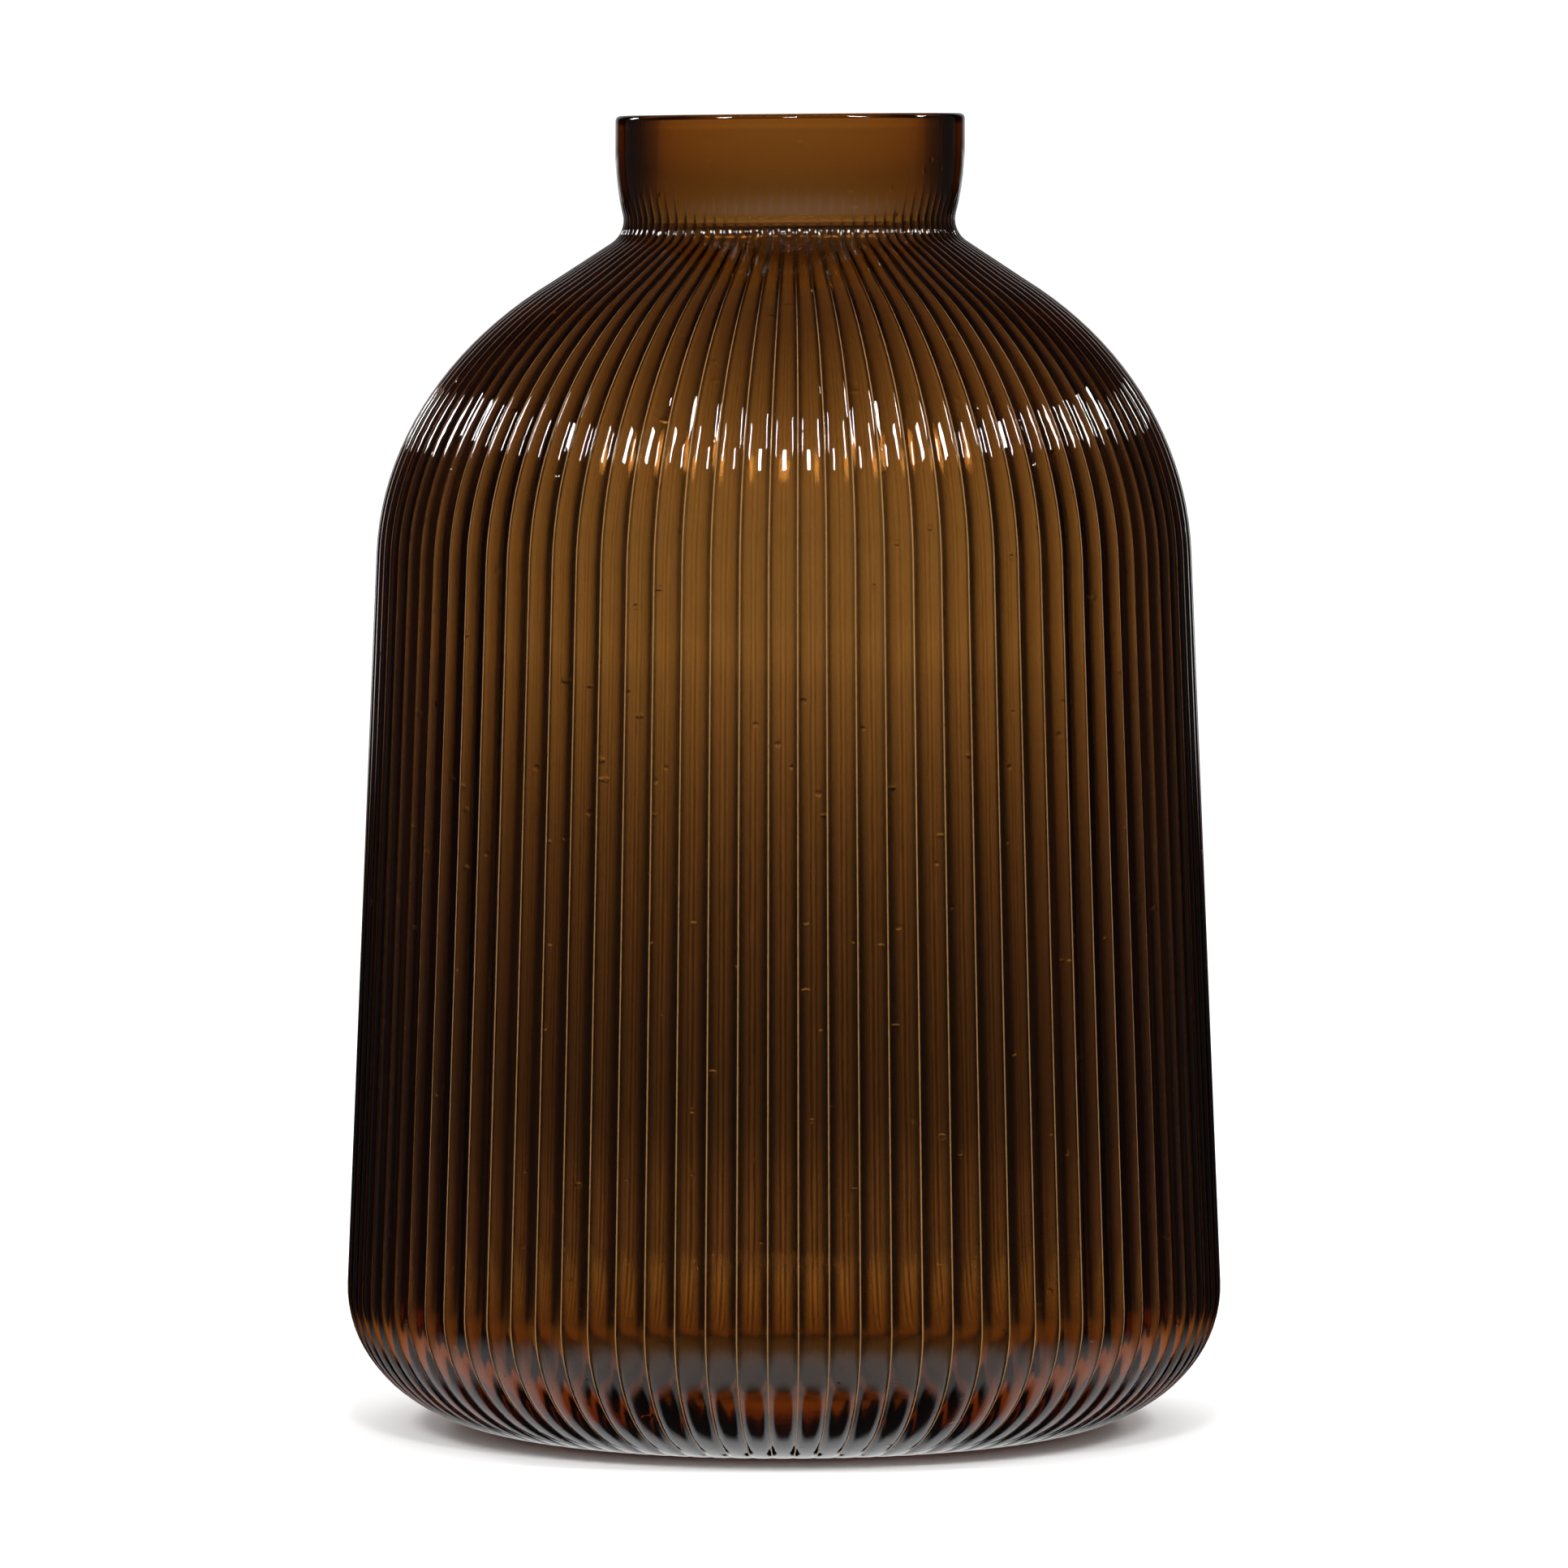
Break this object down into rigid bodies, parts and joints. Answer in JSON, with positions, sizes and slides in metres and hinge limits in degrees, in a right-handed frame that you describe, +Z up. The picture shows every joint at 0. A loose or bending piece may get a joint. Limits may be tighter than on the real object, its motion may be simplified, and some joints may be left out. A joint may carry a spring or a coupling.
{
  "type": "ribbed glass vase",
  "caption": "Tall domed amber glass vase with fine vertical ribs, a rounded heel, a plain flared collar and a ground lip.",
  "frame": {"origin": "centre of the standing ring, on the surface the vase stands on", "axes": "+Z up along the vase's axis, towards the mouth; +X to the right and +Y away from the viewer"},
  "size_m": [0.1998, 0.2, 0.3],
  "materials": {
    "amber_glass": "transparent amber-brown glass, fire-polished, with a ground lip"
  },
  "bodies": {
    "root": {"base": "amber_glass", "heel": "amber_glass", "body_wall": "amber_glass", "shoulder": "amber_glass", "throat": "amber_glass", "collar": "amber_glass", "lip": "amber_glass"}
  },
  "joints": []
}
